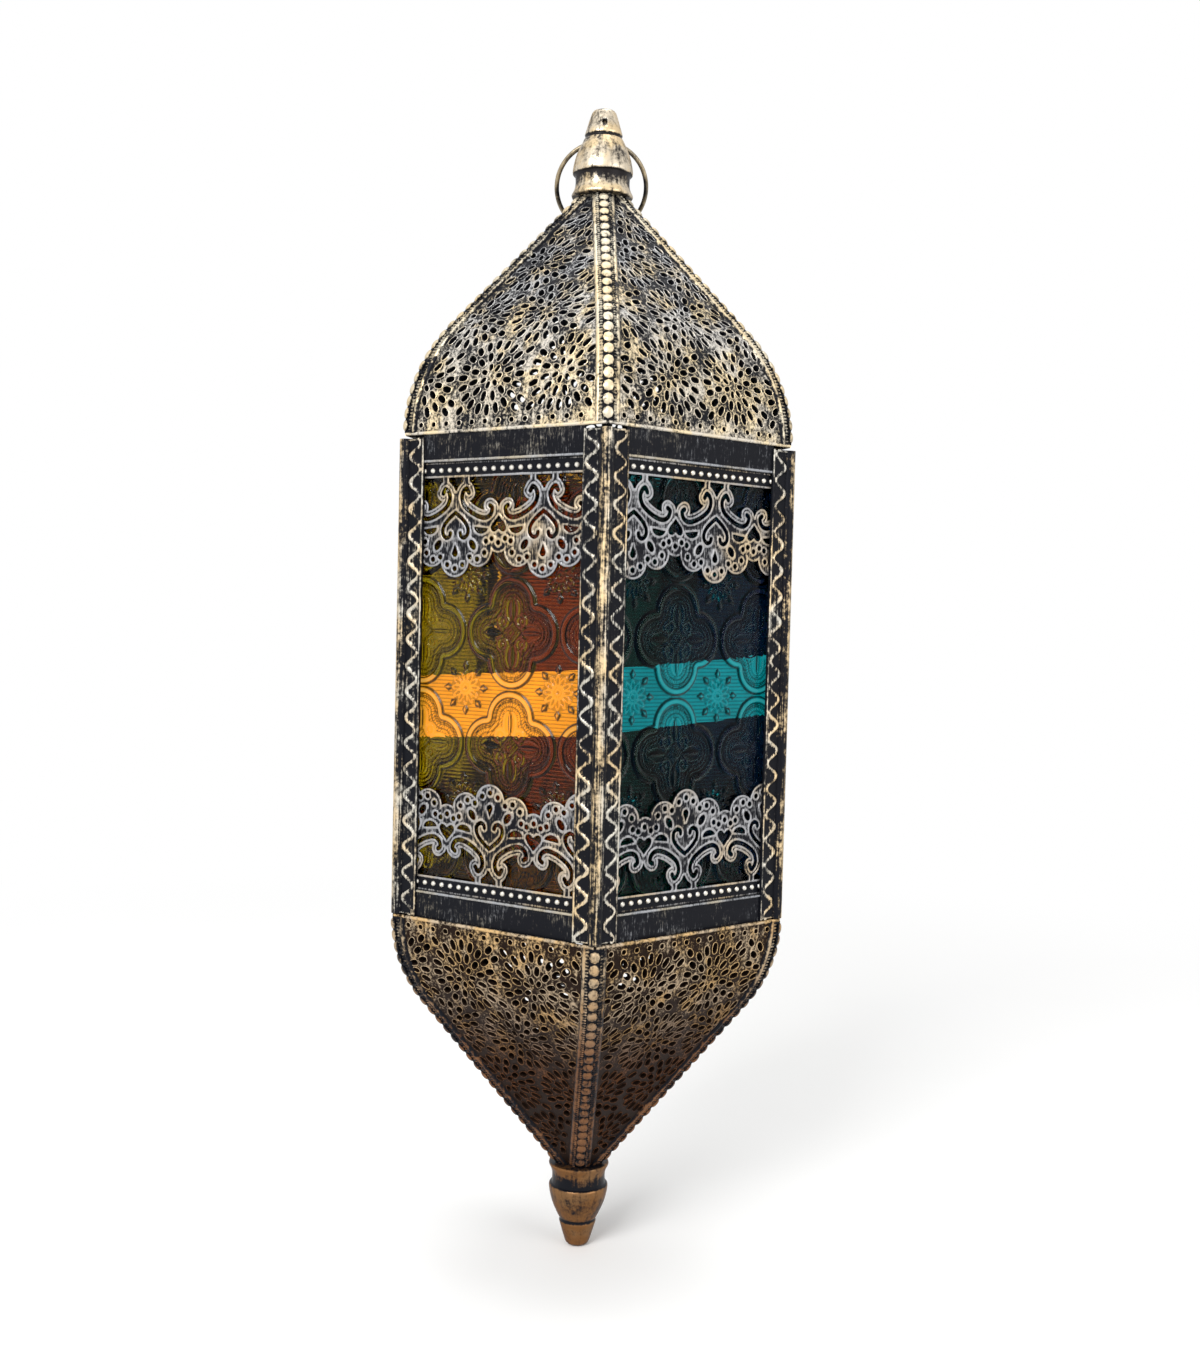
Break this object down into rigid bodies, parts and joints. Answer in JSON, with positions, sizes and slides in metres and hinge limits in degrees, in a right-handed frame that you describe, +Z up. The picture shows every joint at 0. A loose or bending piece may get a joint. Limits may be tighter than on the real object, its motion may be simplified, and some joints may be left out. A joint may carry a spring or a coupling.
{
  "type": "ramadan fanous lantern",
  "caption": "Hanging lantern with flat sides of coloured pattern glass under stamped metal lace, a pierced domed roof and pointed bowl, a hinged door, a candle cup and a swinging ring.",
  "frame": {"origin": "pivot of the hanging ring in the top finial, on the lantern's axis", "axes": "+Z up along the lantern's axis, -Y out of the corner between the two front panes, +Y out of the door"},
  "size_m": [0.1658, 0.1597, 0.4972],
  "materials": {
    "champagne": "satin, worn",
    "copper_bronze": "satin, worn",
    "antique_brass": "dark, antique",
    "roof_sheet": "pressed, mottled silver and pale gold",
    "bowl_sheet": "pressed, mottled bronze",
    "rib_strip": "beaded, antique",
    "post_strip": "embossed, blue-grey with pale gold relief",
    "band_sheet": "dark blue-grey",
    "lace_strip": "stamped, antique",
    "hardware": "plain",
    "candle_tin": "plain tin",
    "glass_turquoise": "rolled pattern glass",
    "glass_violet": "rolled pattern glass",
    "glass_red": "rolled pattern glass",
    "glass_green": "rolled pattern glass",
    "glass_amber": "rolled pattern glass"
  },
  "bodies": {
    "lantern_body": {"top_finial": "champagne", "bottom_finial": "copper_bronze", "roof_panel_front_right": "roof_sheet", "bowl_panel_front_right": "bowl_sheet", "roof_panel_right": "roof_sheet", "bowl_panel_right": "bowl_sheet", "roof_panel_back": "roof_sheet", "bowl_panel_back": "bowl_sheet", "roof_panel_left": "roof_sheet", "bowl_panel_left": "bowl_sheet", "roof_panel_front_left": "roof_sheet", "bowl_panel_front_left": "bowl_sheet", "roof_rib_front": "rib_strip", "bowl_rib_front": "rib_strip", "corner_post_front": "post_strip", "roof_rib_right": "rib_strip", "bowl_rib_right": "rib_strip", "corner_post_right": "post_strip", "roof_rib_back_right": "rib_strip", "bowl_rib_back_right": "rib_strip", "corner_post_back_right": "post_strip", "roof_rib_back_left": "rib_strip", "bowl_rib_back_left": "rib_strip", "corner_post_back_left": "post_strip", "roof_rib_left": "rib_strip", "bowl_rib_left": "rib_strip", "corner_post_left": "post_strip", "upper_band": "band_sheet", "lower_band": "band_sheet", "glass_pane_front_right": "glass_turquoise", "upper_lace_front_right": "lace_strip", "lower_lace_front_right": "lace_strip", "glass_pane_right": "glass_violet", "upper_lace_right": "lace_strip", "lower_lace_right": "lace_strip", "glass_pane_left": "glass_green", "upper_lace_left": "lace_strip", "lower_lace_left": "lace_strip", "glass_pane_front_left": "glass_amber", "upper_lace_front_left": "lace_strip", "lower_lace_front_left": "lace_strip", "hinge_leaves": "hardware", "hinge_pins": "hardware", "catch_pin": "hardware", "candle_plate": "candle_tin", "candle_cup": "candle_tin"},
    "ring": {"hanging_ring": "antique_brass"},
    "door": {"glass_pane_back": "glass_red", "upper_lace_back": "lace_strip", "lower_lace_back": "lace_strip", "door_frame": "band_sheet", "latch_rivet": "hardware"},
    "latch": {"latch_hook": "hardware"}
  },
  "joints": [
    {"name": "ring_swing", "type": "hinge", "parent": "lantern_body", "child": "ring", "pos_m": [0, 0, 0], "axis": [1, 0, 0], "range_deg": [0, 280]},
    {"name": "door_swing", "type": "hinge", "parent": "lantern_body", "child": "door", "pos_m": [0.0413, 0.071, -0.2304], "axis": [0, 0, -1], "range_deg": [0, 110]},
    {"name": "latch_swing", "type": "hinge", "parent": "door", "child": "latch", "pos_m": [-0.0375, 0.0699, -0.2304], "axis": [0, 1, 0], "range_deg": [0, 100]}
  ]
}
